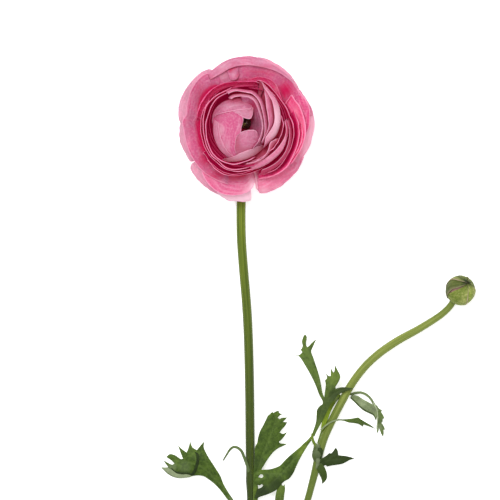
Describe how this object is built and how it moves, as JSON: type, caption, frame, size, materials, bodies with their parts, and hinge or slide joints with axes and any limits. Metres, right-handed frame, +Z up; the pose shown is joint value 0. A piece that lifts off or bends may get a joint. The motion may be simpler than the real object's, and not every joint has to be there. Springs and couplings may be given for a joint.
{
  "type": "ranunculus flower",
  "caption": "Cut ranunculus stem lying down: an open, many-petalled pink bloom facing up, a side stem with a closed green bud, and toothed leaves.",
  "frame": {"origin": "on the table, at the middle of the outline seen from above", "axes": "+Y along the stems from the cut end to the bloom, +X towards the bud's side, +Z up, the way the bloom faces"},
  "size_m": [0.1754, 0.3878, 0.0511],
  "materials": {
    "stem": "satin",
    "pale_stem": "satin",
    "sepal": "matte",
    "petal": "satin",
    "pistil": "matte",
    "bud_petal": "satin",
    "leaf": "matte"
  },
  "bodies": {
    "root": {"flower_stem": "stem", "bud_stem": "pale_stem", "calyx": "sepal", "petals": "petal", "pistil_head": "pistil", "bud_sepals": "sepal", "bud_petals": "bud_petal", "left_leaf": "leaf", "curled_leaf": "leaf", "toothed_leaf": "leaf", "forked_leaf": "leaf", "clasping_leaf": "leaf", "nodding_leaf": "leaf", "slender_leaf": "leaf", "low_leaf": "leaf"}
  },
  "joints": []
}
